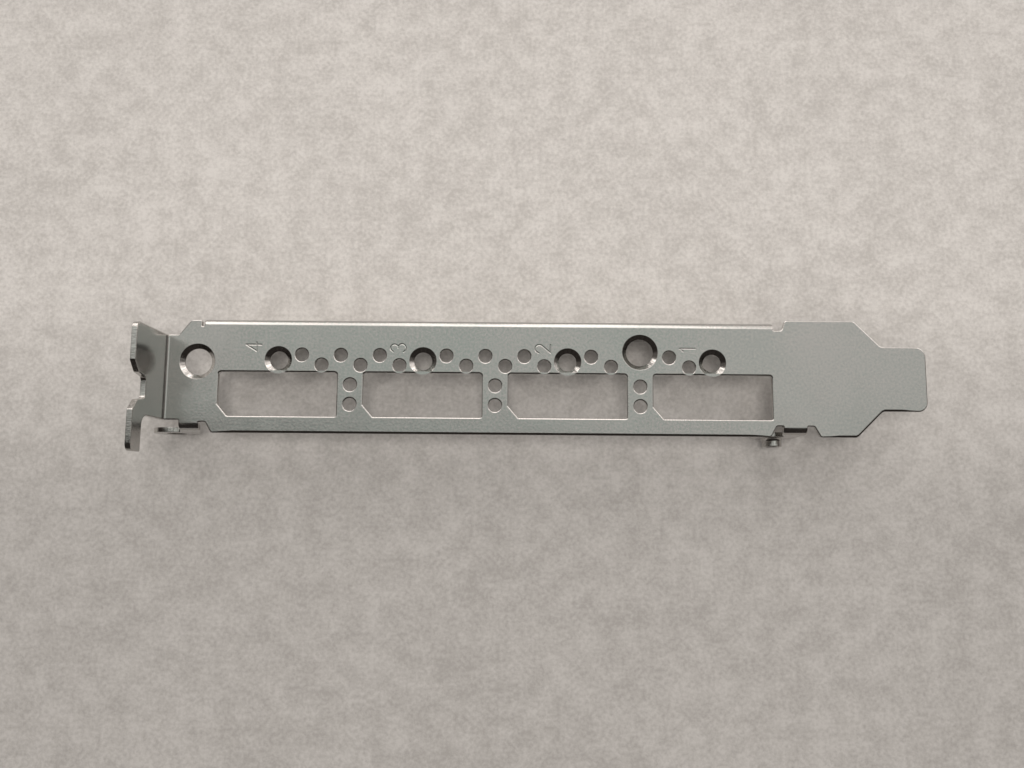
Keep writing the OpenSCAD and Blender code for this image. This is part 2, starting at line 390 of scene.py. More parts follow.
@dataclass(frozen=True)
class WallSection:
    """Section of a cut edge, from the outside face down to the back face.

    Each column is a point: its distance into the sheet, its depth below the outside
    face, and its normal's parts out of the wall and up. Distance and depth have a
    part that grows with the local width of the rolled edge.
    """

    inset_roll: Array
    inset: Array
    depth_roll: Array
    depth: Array
    out: Array
    up: Array

    @staticmethod
    def join(*spans: Array) -> "WallSection":
        """Section from spans of rows, each row as the six parts in order."""
        rows = np.concatenate(spans, axis=0)
        return WallSection(*rows.T)


def quarter(steps: int, skip: int = 0) -> Array:
    """Sines and cosines of the turns from 0 to a quarter, without the first few."""
    turn = np.linspace(0.0, math.pi / 2, steps + 1)[skip:]
    return np.stack([np.sin(turn), np.cos(turn)])


def span(inset: float | Array, depth: float | Array, out: float | Array,
         up: float | Array) -> Array:
    """Rows of a section that don't grow with the rolled edge's width."""
    return np.stack(np.broadcast_arrays(0.0, inset, 0.0, depth, out, up), axis=1)


def sheared_section(sheet_t: float, squat: float = 0.55, tear: float = 0.025,
                    burr_r: float = 0.05, sheared: float = 0.55) -> WallSection:
    """Section that a punch leaves: rolled edge, straight shear band, torn foot, small break.

    The rolled edge is a quarter of an ellipse, squat times as deep as it is wide.

    Args:
        sheet_t: Thickness of the sheet.
        squat: Depth of the rolled edge over its width.
        tear: How far the torn part opens towards the back face.
        burr_r: Radius of the break at the back face.
        sheared: Share of the thickness down to which the wall is sheared, not torn.

    Returns:
        The section.
    """
    s, c = quarter(6)
    normal = unit(np.stack([s, c / squat], axis=1))
    none = np.zeros_like(s)
    roll = np.stack([1 - s, none, squat * (1 - c), none, *normal.T], axis=1)
    band = span(np.array([0, tear]), np.array([sheet_t * sheared, sheet_t - burr_r]),
                1, np.array([0, -0.02]))
    s, c = quarter(4, skip=1)
    foot = span(tear + burr_r * (1 - c), sheet_t - burr_r * (1 - s), c, -s)
    return WallSection.join(roll, band, foot)


def sunk_section(sheet_t: float, hole_r: float, sink_r: float, sink_wall: float,
                 rim_r: float = 0.09, knee_r: float = 0.05) -> WallSection:
    """Section of a countersunk hole: rolled rim, cone, small round, wall, break at the back.

    Args:
        sheet_t: Thickness of the sheet.
        hole_r: Radius of the hole.
        sink_r: Radius of the countersink at the outside face.
        sink_wall: Straight wall below the cone.
        rim_r: Radius of the round at the outside face.
        knee_r: Radius of the round under the cone, and of the break at the back face.

    Returns:
        The section.
    """
    reach, fall = sink_r - hole_r, sheet_t - sink_wall
    lean = math.atan2(fall, reach)
    turn = np.linspace(0, lean, 5)
    s, c = np.sin(turn), np.cos(turn)
    over = rim_r / math.tan((math.pi - lean) / 2)
    crown = span(reach + over - rim_r * s, rim_r * (1 - c), s, c)
    turn = np.linspace(lean, math.pi / 2, 4)
    s, c = np.sin(turn), np.cos(turn)
    back = knee_r * math.tan((math.pi / 2 - lean) / 2)
    knee = span(knee_r * (1 - s), fall + back - knee_r * c, s, c)
    s, c = quarter(4)
    foot = span(knee_r * (1 - c), sheet_t - knee_r * (1 - s), c, -s)
    return WallSection.join(crown, knee, foot)


def collar_section(size: SheetSizes, flat: float = 0.02, rows: int = 45,
                   soft: float = 0.01) -> WallSection:
    """Section of the drawn collar: flared foot, tube, rounded lip, bore and lead-in.

    Distances are from the bore's wall, and the tube stands over the outside face, so
    its depths are negative.

    Args:
        size: Sizes of the bracket.
        flat: Half of the flat left on the lip.
        rows: Rows of points down the bore.
        soft: How far the lead-in's two edges are eased.

    Returns:
        The section.
    """
    wall = size.collar_r - size.tap_hole_r
    flare, lip = size.collar_flare_r, wall / 2 - flat
    s, c = quarter(8)
    foot = span(wall + flare - flare * s, -flare * (1 - c), -s, c)
    s, c = quarter(5)
    outer = span(wall - lip * (1 - c), lip * (1 - s) - size.collar_h, -c, s)
    inner = span(lip * (1 - s), lip * (1 - c) - size.collar_h, s, c)
    lead, back = size.tap_lead, size.sheet_t
    bore = span(0, np.linspace(lip - size.collar_h, back - lead, rows)[1:], 1, 0)
    lean = math.sqrt(0.5)
    lead_in = np.array([[0, soft, 0, back - lead + soft, lean, -lean],
                        [0, lead - 3 * soft, 0, back - 3 * soft, lean, -lean],
                        [0, lead + soft, 0, back, 0, -1]])
    return WallSection.join(foot, outer, inner, bore, lead_in)


def quad_corners(grid: Array, after: Array) -> Array:
    """Corners of the faces between a grid's columns and the columns after them."""
    return np.stack([grid[:, :-1], grid[:, 1:], after[:, 1:], after[:, :-1]], axis=2)


@dataclass
class CutLoop:
    """One closed cut in the blank, with its wall as a grid of points along and down it."""

    loop: Array
    section: WallSection
    roll: Array

    def inward(self) -> tuple[Array, Array]:
        """Directions into the sheet at each point.

        Returns:
            The mitre, which keeps offset sides parallel, and the same one long.
        """
        ahead = unit(np.roll(self.loop, -1, axis=0) - self.loop)
        left = np.stack([-ahead[:, 1], ahead[:, 0]], axis=1)
        before = np.roll(left, 1, axis=0)
        mitre = (left + before) / (1 + (left * before).sum(axis=1, keepdims=True))
        return mitre, unit(mitre)

    def wall(self) -> tuple[Array, Array, Array]:
        """The cut's wall in the blank.

        Point (i, k) is the loop's point i moved into the sheet by the section's
        distance k and down by its depth k.

        Returns:
            Points and normals of the grid, and its own coordinates along and down it.
        """
        mitre, inside = self.inward()
        sec, width = self.section, self.roll[:, None]
        inset = width * sec.inset_roll + sec.inset
        depth = width * sec.depth_roll + sec.depth
        plan = self.loop[:, None, :] + inset[:, :, None] * mitre[:, None, :]
        points = np.concatenate([plan, -depth[:, :, None]], axis=2)
        flat = -inside[:, None, :] * np.broadcast_to(sec.out[None, :, None], plan.shape[:2] + (1,))
        rise = np.broadcast_to(sec.up[None, :, None], plan.shape[:2] + (1,))
        along = np.concatenate([[0.0], np.cumsum(np.linalg.norm(
            np.diff(self.loop, axis=0), axis=1))])
        uv = np.stack([np.broadcast_to(along[:, None], depth.shape), depth], axis=2)
        return points, unit(np.concatenate([flat, rise], axis=2)), uv


@dataclass(frozen=True)
class StampedNumber:
    """One stamped port number, as strokes in a cell one wide and one high."""

    strokes: tuple[tuple[tuple[float, float], ...], ...]

    def segments(self) -> tuple[Array, Array]:
        """Starts and ends of all the strokes' straight pieces."""
        starts = np.concatenate([np.array(s[:-1]) for s in self.strokes])
        ends = np.concatenate([np.array(s[1:]) for s in self.strokes])
        return starts, ends


def bow(x: float, y: float, rx: float, ry: float, start: float, end: float,
        count: int = 12) -> tuple[tuple[float, float], ...]:
    """Points on an ellipse's arc round (x, y), from one angle in degrees to another."""
    turn = np.radians(np.linspace(start, end, count))
    return tuple(zip((x + rx * np.cos(turn)).tolist(), (y + ry * np.sin(turn)).tolist()))


NUMBERS: dict[str, StampedNumber] = {
    "1": StampedNumber((((0.34, 0.78), (0.66, 0.98), (0.66, 0.0)),)),
    "2": StampedNumber((bow(0.5, 0.71, 0.45, 0.29, 172, -28) + ((0.06, 0.0), (0.96, 0.0)),)),
    "3": StampedNumber((bow(0.47, 0.745, 0.41, 0.255, 158, -78),
                        bow(0.47, 0.255, 0.47, 0.255, 88, -158))),
    "4": StampedNumber((((1.0, 0.31), (0.02, 0.31), (0.74, 1.0), (0.74, 0.0)),)),
}


@dataclass(frozen=True)
class NumberStamp:
    """The stamp that strikes the port numbers beside the small countersunk holes.

    The numbers read from the tongue's side: their tops point to the fixing tab.
    """

    high: float = 2.42
    wide: float = 1.42
    stroke_w: float = 0.27
    strike: float = 0.06
    shift_x: float = -3.92
    shift_y: float = 2.03
    grid: float = 0.045
    flat_share: float = 0.22

    def places(self, size: SheetSizes) -> list[tuple[str, float, float]]:
        """Number and middle of each stamp, counted down from the fixing tab."""
        return [(str(size.port_count - i), size.port_mid_x + size.port_pitch * i + self.shift_x,
                 size.shell_hole_y + self.shift_y) for i in range(size.port_count)]

    def patch(self, x: float, y: float) -> Array:
        """Fine grid of blank points over one number's cell and a little past it."""
        reach = np.array([self.high, self.wide]) / 2 + self.stroke_w
        along, across = (np.linspace(-r, r, int(2 * r / self.grid)) for r in reach)
        gx, gy = np.meshgrid(along, across)
        return np.stack([gx.ravel() + x, gy.ravel() + y], axis=1)

    def struck(self, points: Array, number: str, x: float, y: float) -> tuple[Array, Array]:
        """Depth of the groove and its slope at blank points near one number.

        The depth is the strike times a smooth step of the distance to the nearest
        stroke: full along the stroke's middle, none past half its width.

        Args:
            points: Rows of x and y.
            number: Which number is struck.
            x: Middle of the number along the plate.
            y: Middle of the number across the plate.

        Returns:
            Depths, and rows of the depth's slope along x and y.
        """
        a, b = (self.placed(p, x, y) for p in NUMBERS[number].segments())
        side = (b - a)[None]
        gap = points[:, None, :] - a[None]
        share = np.clip((gap * side).sum(2) / np.maximum((side * side).sum(2), 1e-12), 0, 1)
        away = gap - share[:, :, None] * side
        distance = np.linalg.norm(away, axis=2)
        nearest = distance.argmin(axis=1)
        index = np.arange(len(points))
        d = distance[index, nearest]
        half, flank = self.stroke_w / 2, 1 - self.flat_share
        t = np.clip((d / half - self.flat_share) / flank, 0, 1)
        depth = self.strike * (1 - t * t * (3 - 2 * t))
        steep = -self.strike * 6 * t * (1 - t) / (flank * half)
        return depth, unit(away[index, nearest]) * steep[:, None]

    def placed(self, cell: Array, x: float, y: float) -> Array:
        """Cell points on the plate: up in the cell is towards the fixing tab."""
        return np.stack([x - (cell[:, 1] - 0.5) * self.high,
                         y + (cell[:, 0] - 0.5) * self.wide], axis=1)


@dataclass
class FoldedSheet:
    """The bracket's sheet: its blank, its cuts and stamps, and its bends."""

    size: SheetSizes = field(default_factory=SheetSizes)
    stamp: NumberStamp = field(default_factory=NumberStamp)
    roll_w: float = 0.2
    long_roll_w: float = 0.42
    hole_roll_w: float = 0.15
    opening_roll_w: float = 0.27
    vent_roll_w: float = 0.2
    longest: float = 1.5
    corner_rs: tuple[float, float, float] = (0.15, 0.4, 0.5)
    slack: float = 0.4
    ear_clear: float = 2.0
    roll_clear: float = 6.0
    roll_fade: float = 2.0
    arm_a_free: float = 1.2
    arm_b_free: float = 2.2

    def bends(self) -> dict[str, Bend]:
        """The four bends, by the leaf that each one carries."""
        s = self.size
        flange = (s.flange_x - s.flange_slit_w / 2, s.flange_end_x + s.flange_notch_w / 4)
        neck = (s.neck_y - self.slack, s.neck_top + self.slack)
        ear = (-s.ear_reach - self.slack, neck[1])

        def board(root_x: float, root_w: float, lug_x: float, spread_from: float) -> Bend:
            """Bend of one board tab, whose lug spreads past its root."""
            end = root_x + root_w
            return Bend(BendAxis.ACROSS, s.board_line_y, -1, s.board_bend_r, FoldWay.DOWN,
                        s.sheet_t, (root_x - s.root_gap / 2, end + s.root_gap / 2),
                        (lug_x - s.lug_r - self.slack, end + s.root_gap), spread_from)

        return {
            "fixing_tab": Bend(BendAxis.ALONG, s.tab_line_x, -1, s.tab_bend_r, FoldWay.UP,
                               s.sheet_t, neck, ear, s.ear_z - self.ear_clear),
            "flange": Bend(BendAxis.ACROSS, s.flange_line_y, 1, s.flange_bend_r, FoldWay.DOWN,
                           s.sheet_t, flange, flange, 0.0),
            "first_board_tab": board(s.root_a_x, s.root_a_w, s.lug_a_x, self.arm_a_free),
            "second_board_tab": board(s.root_b_x, s.root_b_w, s.lug_b_x, self.arm_b_free),
        }

    def lug_corners(self, bend: Bend, root_x: float, root_w: float, lug_x: float,
                    lean: float, arm_r: float = 0.6) -> Array:
        """Corners of one board tab in the blank, from its near side round to its far side.

        The near side leans from the root to the lug's circle, the outline follows the
        circle the long way round, and the far side leaves it where it touches.

        Args:
            bend: The board tab's bend.
            root_x: Where the root starts.
            root_w: Width of the root.
            lug_x: Middle of the lug.
            lean: How far the near side leans before it meets the lug.
            arm_r: Radius where the arm's sides leave the fold.

        Returns:
            Rows of x, y and corner radius.
        """
        s = self.size
        middle_y = bend.blank_at(-s.lug_z)
        fold_y = bend.blank_at(s.sheet_t + s.board_bend_r)
        foot_x = root_x + lean - lug_x
        start = math.atan2(math.sqrt(s.lug_r ** 2 - foot_x ** 2), foot_x)
        corner = np.array([root_x + root_w - lug_x, fold_y - middle_y])
        touch = math.atan2(corner[1], corner[0]) - math.acos(s.lug_r / float(np.hypot(*corner)))
        turn = np.linspace(start, touch + 2 * math.pi, 48)
        arc = np.stack([lug_x + s.lug_r * np.cos(turn), middle_y + s.lug_r * np.sin(turn),
                        np.where(turn == turn[0], self.corner_rs[0], 0.0)], axis=1)
        return np.array([[root_x, fold_y, arm_r], *arc, [root_x + root_w, fold_y, arm_r]])

    def outline(self) -> Array:
        """The blank's outer loop, anticlockwise, with the crossings of every bend's rows."""
        s, bends = self.size, self.bends()
        tab, flange = bends["fixing_tab"].blank_at, bends["flange"].blank_at
        tight, snug, soft = self.corner_rs
        free_u, floor_u, lead_u = (tab(s.tab_h - d) for d in (0, s.slot_depth, s.slot_lead))
        mid, half = s.plate_w / 2, s.tongue_w / 2
        tongue_x = s.overall_len - s.tongue_len
        slope_x = tongue_x - s.tongue_slope_len
        over, slit_x = s.flange_line_y - s.relief_over, s.flange_x - s.flange_slit_w
        notch_x, notch_side = s.flange_end_x + s.flange_notch_w, 0.5

        def beside(root: float, way: int) -> list[list[float]]:
            """Corners of the clear cut beside a root, from the root outwards."""
            end = root + way * s.root_gap
            return [[root, s.root_top_y, tight], [end, s.root_top_y, snug],
                    [end + way * s.root_slope_len, 0, soft]]

        def slot_side(way: int) -> list[list[float]]:
            """Corners of one side of the screw slot, from its mouth to its floor."""
            wide, narrow = s.slot_y + way * s.slot_mouth_w / 2, s.slot_y + way * s.slot_w / 2
            return [[free_u, wide + way * s.slot_lead, snug], [lead_u, wide, snug],
                    [floor_u, narrow, s.slot_corner_r]]

        head = [
            [slope_x, 0, s.head_corner_r], [tongue_x, mid - half, s.head_corner_r],
            [s.overall_len, mid - half, s.tongue_corner_r],
            [s.overall_len, mid + half, s.tongue_corner_r],
            [tongue_x, mid + half, s.head_corner_r], [slope_x, s.plate_w, s.head_corner_r],
            [notch_x, s.plate_w, snug], [notch_x - notch_side, over, 0.6],
        ]
        long_side = [
            [s.flange_end_x, over, 0.1], [s.flange_end_x, flange(s.lie_h), s.flange_corner_r],
            [s.flange_x, flange(s.lie_h), s.flange_corner_r], [s.flange_x, over, 0.1],
            [slit_x, over, 0.1], [slit_x, s.plate_w - s.shoulder_drop, 0.25],
            [s.shoulder_x + s.shoulder_len, s.plate_w - s.shoulder_drop, snug],
            [s.shoulder_x, s.neck_top, 0.3], [free_u, s.neck_top, s.tab_corner_r],
        ]
        ear = [
            [free_u, -s.ear_reach, s.tab_corner_r], [tab(s.ear_z), -s.ear_reach, 0.35],
            [tab(s.ear_z), s.neck_y, s.ear_root_r], [s.root_a_x, s.neck_y, tight],
        ]
        first = self.lug_corners(bends["first_board_tab"], s.root_a_x, s.root_a_w, s.lug_a_x,
                                 s.arm_a_lean)
        second = self.lug_corners(bends["second_board_tab"], s.root_b_x, s.root_b_w, s.lug_b_x,
                                  s.arm_b_lean)
        loop = split_long(rounded_loop(np.concatenate([
            first, beside(s.root_a_x + s.root_a_w, 1), beside(s.root_b_x, -1)[::-1],
            second, beside(s.root_b_x + s.root_b_w, 1), head, long_side, slot_side(1),
            slot_side(-1)[::-1], ear])), self.longest)
        for bend in bends.values():
            for row in bend.rows():
                loop = cut_at_row(loop, bend, float(row))
        return loop

    def edge_roll(self, outer: Array) -> Array:
        """Width of the rolled edge along the outer loop: wide on the lower edges only.

        It grows over a short way past the board tabs' ends and shrinks again before
        the next corner.

        Args:
            outer: The outer loop.

        Returns:
            The width at each of its points.
        """
        s, ends, fade = self.size, self.roll_clear, self.roll_fade
        x, y = outer.T
        after_tabs = np.minimum(x - s.root_a_x - ends, s.root_b_x - ends + 3.5 - x)
        before_tip = np.minimum(x - s.root_b_x - s.root_b_w - ends / 2,
                                s.overall_len - ends / 3 - x)
        plate = np.clip(after_tabs / fade, 0, 1) * (np.abs(y) < 0.01)
        head = np.clip(before_tip / fade, 0, 1) * (y < s.plate_w / 2)
        return self.roll_w + (self.long_roll_w - self.roll_w) * np.maximum(plate, head)

    def cuts(self) -> list[CutLoop]:
        """Every cut in the blank, the outer one first."""
        s = self.size
        outer = self.outline()
        sheared = sheared_section(s.sheet_t)
        shell = sunk_section(s.sheet_t, s.shell_hole_r, s.shell_sink_r, s.sink_wall)
        screw = sunk_section(s.sheet_t, s.screw_hole_r, s.screw_sink_r, s.sink_wall)
        cuts = [CutLoop(outer, sheared, self.edge_roll(outer))]

        def add(loop: Array, section: WallSection, roll: float = self.hole_roll_w) -> None:
            """Adds one hole's loop with the width of its rolled edge."""
            cuts.append(CutLoop(loop, section, np.full(len(loop), roll)))

        opening = np.array([[s.port_cut_x, 0, 0.2], [0, s.port_cut_y, 0.2],
                            [0, s.port_h, s.port_r], [s.port_w, s.port_h, s.port_r],
                            [s.port_w, 0, 0.25]])
        for i in range(s.port_count):
            corner = np.array([s.port_x + s.port_pitch * i, s.port_y, 0])
            add(split_long(rounded_loop(opening + corner), self.longest), sheared,
                self.opening_roll_w)
            add(circle_loop(s.port_mid_x + s.port_pitch * i, s.shell_hole_y,
                            s.shell_hole_r, 64), shell)
        screw_b_x = s.port_mid_x + s.port_pitch * (s.screw_b_web - 0.5)
        for x, y in ((s.screw_a_x, s.screw_a_y), (screw_b_x, s.screw_b_y)):
            add(circle_loop(x, y, s.screw_hole_r, 80), screw)
        for x, y in self.vent_places():
            add(circle_loop(x, y, s.vent_r, 44), sheared, self.vent_roll_w)
        lug_y = self.bends()["first_board_tab"].blank_at(-s.lug_z)
        add(circle_loop(s.lug_a_x, lug_y, s.clear_hole_r, 56), sheared)
        add(circle_loop(s.lug_b_x, lug_y, s.tap_hole_r, 56), collar_section(s))
        return cuts

    def vent_places(self) -> list[tuple[float, float]]:
        """Middles of the vent holes, over and in the webs between the openings."""
        s = self.size
        places: list[tuple[float, float]] = []
        for web in range(1, s.port_count):
            web_x = s.port_mid_x + s.port_pitch * (web - 0.5)
            for col in range(s.vent_cols):
                step = s.vent_pitch * (col - (s.vent_cols - 1) / 2)
                if web != s.screw_b_web or step != 0:
                    places.append((web_x - s.vent_shift + step, s.vent_hi_y))
                    places.append((web_x + s.vent_shift + step, s.vent_lo_y))
            places += [(web_x, s.web_hole_y + s.web_hole_pitch * row)
                       for row in range(s.web_holes)]
        return places

    def bend_links(self, points: Array) -> list[tuple[int, int]]:
        """Pairs of edge points that lie on the same row of a bend, for straight fold rows."""
        links: list[tuple[int, int]] = []
        for bend in self.bends().values():
            a = bend.axis.value
            for row in bend.rows():
                on = np.flatnonzero((np.abs(points[:, a] - row) < 1e-5)
                                    & (points[:, 1 - a] > bend.root[0])
                                    & (points[:, 1 - a] < bend.root[1]))
                if len(on) == 2:
                    links.append((int(on[0]), int(on[1])))
        return links

    @staticmethod
    def inside_loops(points: Array, loops: Sequence[Array]) -> Array:
        """Mask of the points that lie in the sheet: an odd count of sides to their right."""
        starts = np.concatenate(loops)
        ends = np.concatenate([np.roll(loop, -1, axis=0) for loop in loops])
        x, y = points[:, :1], points[:, 1:2]
        spans = (starts[:, 1] > y) != (ends[:, 1] > y)
        rise = np.where(ends[:, 1] == starts[:, 1], 1e-30, ends[:, 1] - starts[:, 1])
        at = starts[:, 0] + (y - starts[:, 1]) * (ends[:, 0] - starts[:, 0]) / rise
        return (spans & (at > x)).sum(axis=1) % 2 == 1

    def face(self, loops: Sequence[Array], extra: Array) -> Array:
        """Triangles of one flat face between its loops.

        Args:
            loops: The face's closed edges.
            extra: Free points inside the face.

        Returns:
            Rows of three indices into all the loops' points followed by the free ones.
        """
        edge_points = np.concatenate(loops)
        starts = np.cumsum([0] + [len(loop) for loop in loops])
        edges = [(int(a + i), int(a + (i + 1) % (b - a)))
                 for a, b in zip(starts[:-1], starts[1:]) for i in range(b - a)]
        edges += self.bend_links(edge_points)
        points = np.concatenate([edge_points, extra]) if len(extra) else edge_points
        _, _, tris, came_from, _, _ = delaunay_2d_cdt(
            [Vector(p) for p in points.tolist()], edges, [], 0, 1e-7)
        first = np.array([ids[0] if ids else -1 for ids in came_from])
        index = first[np.array([list(t) for t in tris])]
        index = index[(index >= 0).all(axis=1)]
        middle = points[index].mean(axis=1)
        return index[self.inside_loops(middle, loops)]

    def build(self) -> "SheetMesh":
        """Works out the whole folded sheet.

        Returns:
            Its points, normals, faces, own coordinates and wall mask.
        """
        walls = [cut.wall() for cut in self.cuts()]
        points = [grid.reshape(-1, 3) for grid, _, _ in walls]
        normals = [normal.reshape(-1, 3) for _, normal, _ in walls]
        counts = np.cumsum([0] + [len(p) for p in points])
        quads, quad_uv, top_ids, foot_ids = [], [], [], []
        for start, (grid, _, uv) in zip(counts[:-1], walls):
            ids = start + np.arange(grid.shape[0] * grid.shape[1]).reshape(grid.shape[:2])
            next_uv = np.roll(uv, -1, axis=0)
            next_uv[-1, :, 0] = uv[-1, :, 0] + np.linalg.norm(grid[0, 0, :2] - grid[-1, 0, :2])
            quads.append(quad_corners(ids, np.roll(ids, -1, axis=0)).reshape(-1, 4))
            quad_uv.append(quad_corners(uv, next_uv).reshape(-1, 4, 2))
            top_ids.append(ids[:, 0])
            foot_ids.append(ids[:, -1])
        places = self.stamp.places(self.size)
        patches = [self.stamp.patch(x, y) for _, x, y in places]
        struck, slopes = zip(*[self.stamp.struck(patch, number, x, y)
                               for patch, (number, x, y) in zip(patches, places)])
        free, depth, slope = (np.concatenate(p) for p in (patches, struck, slopes))
        top_tris = self.face([grid[:, 0, :2] for grid, _, _ in walls], free)
        foot_tris = self.face([grid[:, -1, :2] for grid, _, _ in walls], np.zeros((0, 2)))
        top_map = np.concatenate(top_ids + [int(counts[-1]) + np.arange(len(free))])
        tris = np.concatenate([top_map[top_tris], np.concatenate(foot_ids)[foot_tris][:, ::-1]])
        blank = np.concatenate(points + [np.concatenate([free, -depth[:, None]], axis=1)])
        lifted = unit(np.concatenate([slope, np.ones((len(free), 1))], axis=1))
        normal = np.concatenate(normals + [lifted])
        tri_uv = blank[tris][:, :, :2]
        leaves = [(bend, bend.on_leaf(blank)) for bend in self.bends().values()]
        for bend, pick in leaves:
            bend.roll(pick, blank, normal)
        return SheetMesh(blank, unit(normal), np.concatenate(quads), np.concatenate(quad_uv),
                         tris, tri_uv)


@dataclass
class SheetMesh:
    """Arrays of a finished surface, in millimetres, in the drawing's frame."""

    points: Array
    normals: Array
    quads: Array
    quad_uv: Array
    tris: Array
    tri_uv: Array

    def to_object(self, name: str, origin: Array) -> bpy.types.Object:
        """Writes the arrays into a new mesh object that sits at the origin.

        Args:
            name: The piece's name.
            origin: Where the drawing's zero lies in the row frame, in millimetres.

        Returns:
            The object, linked to the scene.
        """
        mesh = bpy.data.meshes.new(name)
        corners = np.concatenate([self.quads.ravel(), self.tris.ravel()]).astype(np.int32)
        sizes = np.concatenate([np.full(len(self.quads), 4), np.full(len(self.tris), 3)])
        starts = (np.cumsum(sizes) - sizes).astype(np.int32)
        mesh.vertices.add(len(self.points))
        mesh.vertices.foreach_set("co", ((self.points + origin) * MM).astype(np.float32).ravel())
        mesh.loops.add(len(corners))
        mesh.loops.foreach_set("vertex_index", corners)
        mesh.polygons.add(len(sizes))
        mesh.polygons.foreach_set("loop_start", starts)
        layer = mesh.uv_layers.new(name="sheet_uv")
        flat = np.concatenate([self.quad_uv.reshape(-1, 2), self.tri_uv.reshape(-1, 2)])
        layer.data.foreach_set("uv", flat.astype(np.float32).ravel())
        sheared = mesh.attributes.new("sheared", "FLOAT", "FACE")
        sheared.data.foreach_set("value", np.concatenate(
            [np.ones(len(self.quads)), np.zeros(len(self.tris))]).astype(np.float32))
        mesh.update(calc_edges=True)
        mesh.validate(verbose=False, clean_customdata=False)
        mesh.normals_split_custom_set_from_vertices(self.normals.tolist())
        piece = bpy.data.objects.new(name, mesh)
        bpy.context.scene.collection.objects.link(piece)
        return piece


class NodeSheet:
    """Short way to lay out a material's or a world's nodes.

    What goes into a node's input is a number, a colour or another node's socket.
    """

    def __init__(self, tree: bpy.types.NodeTree) -> None:
        """Starts on an empty tree."""
        self.tree = tree
        tree.nodes.clear()

    def add(self, kind: str, feeds: dict[int | str, Value] | None = None,
            **settings: str) -> bpy.types.Node:
        """Adds a node, sets its properties and feeds its inputs."""
        node = self.tree.nodes.new(kind)
        for key, setting in settings.items():
            setattr(node, key, setting)
        for key, value in (feeds or {}).items():
            into = node.inputs[key]
            if isinstance(value, Socket):
                self.tree.links.new(value, into)
            elif into.type == "RGBA":
                into.default_value = (*value, 1)
            else:
                into.default_value = value
        return node

    def stretched(self, source: Socket, scale: Colour) -> Socket:
        """Coordinates of a source, scaled on each axis."""
        return self.add("ShaderNodeMapping", {"Vector": source, "Scale": scale}).outputs[0]

    def noise(self, where: Socket, scale: float, detail: float, rough: float) -> Socket:
        """Noise from 0 to 1 at a place, with its scale in turns per unit."""
        return self.add("ShaderNodeTexNoise", {"Vector": where, "Scale": scale, "Detail": detail,
                                               "Roughness": rough}).outputs["Fac"]

    def spread(self, value: Socket, lo: float, hi: float, to_lo: Value = 0.0,
               to_hi: Value = 1.0) -> Socket:
        """Value carried from one range to another, held at its ends."""
        return self.add("ShaderNodeMapRange", {
            "Value": value, "From Min": lo, "From Max": hi, "To Min": to_lo,
            "To Max": to_hi}).outputs["Result"]

    def mix(self, share: Socket, first: Value, second: Value) -> Socket:
        """Colour between two, by a share from 0 to 1."""
        return self.add("ShaderNodeMix", {0: share, 6: first, 7: second},
                        data_type="RGBA").outputs[2]

    def maths(self, way: str, first: Socket, second: Value) -> Socket:
        """Result of a two-part sum on a value."""
        return self.add("ShaderNodeMath", {0: first, 1: second}, operation=way).outputs[0]

    def total(self, *parts: tuple[Socket, float]) -> Socket:
        """Sum of values, each times its weight."""
        whole = self.maths("MULTIPLY", *parts[0])
        for part in parts[1:]:
            whole = self.maths("ADD", whole, self.maths("MULTIPLY", *part))
        return whole

    def bump(self, height: Socket, distance: float, strength: float = 1.0,
             onto: Socket | None = None) -> Socket:
        """Normal bent by a height of 0 to 1 over a distance in metres."""
        feeds: dict[int | str, Value] = {"Height": height, "Distance": distance,
                                         "Strength": strength}
        if onto is not None:
            feeds["Normal"] = onto
        return self.add("ShaderNodeBump", feeds).outputs["Normal"]

    def object_place(self) -> Socket:
        """The piece's own coordinates, in metres."""
        return self.add("ShaderNodeTexCoord").outputs["Object"]


def new_material(name: str) -> tuple[bpy.types.Material, NodeSheet]:
    """A new material and its empty sheet of nodes."""
    material = bpy.data.materials.new(name)
    material.use_nodes = True
    return material, NodeSheet(material.node_tree)


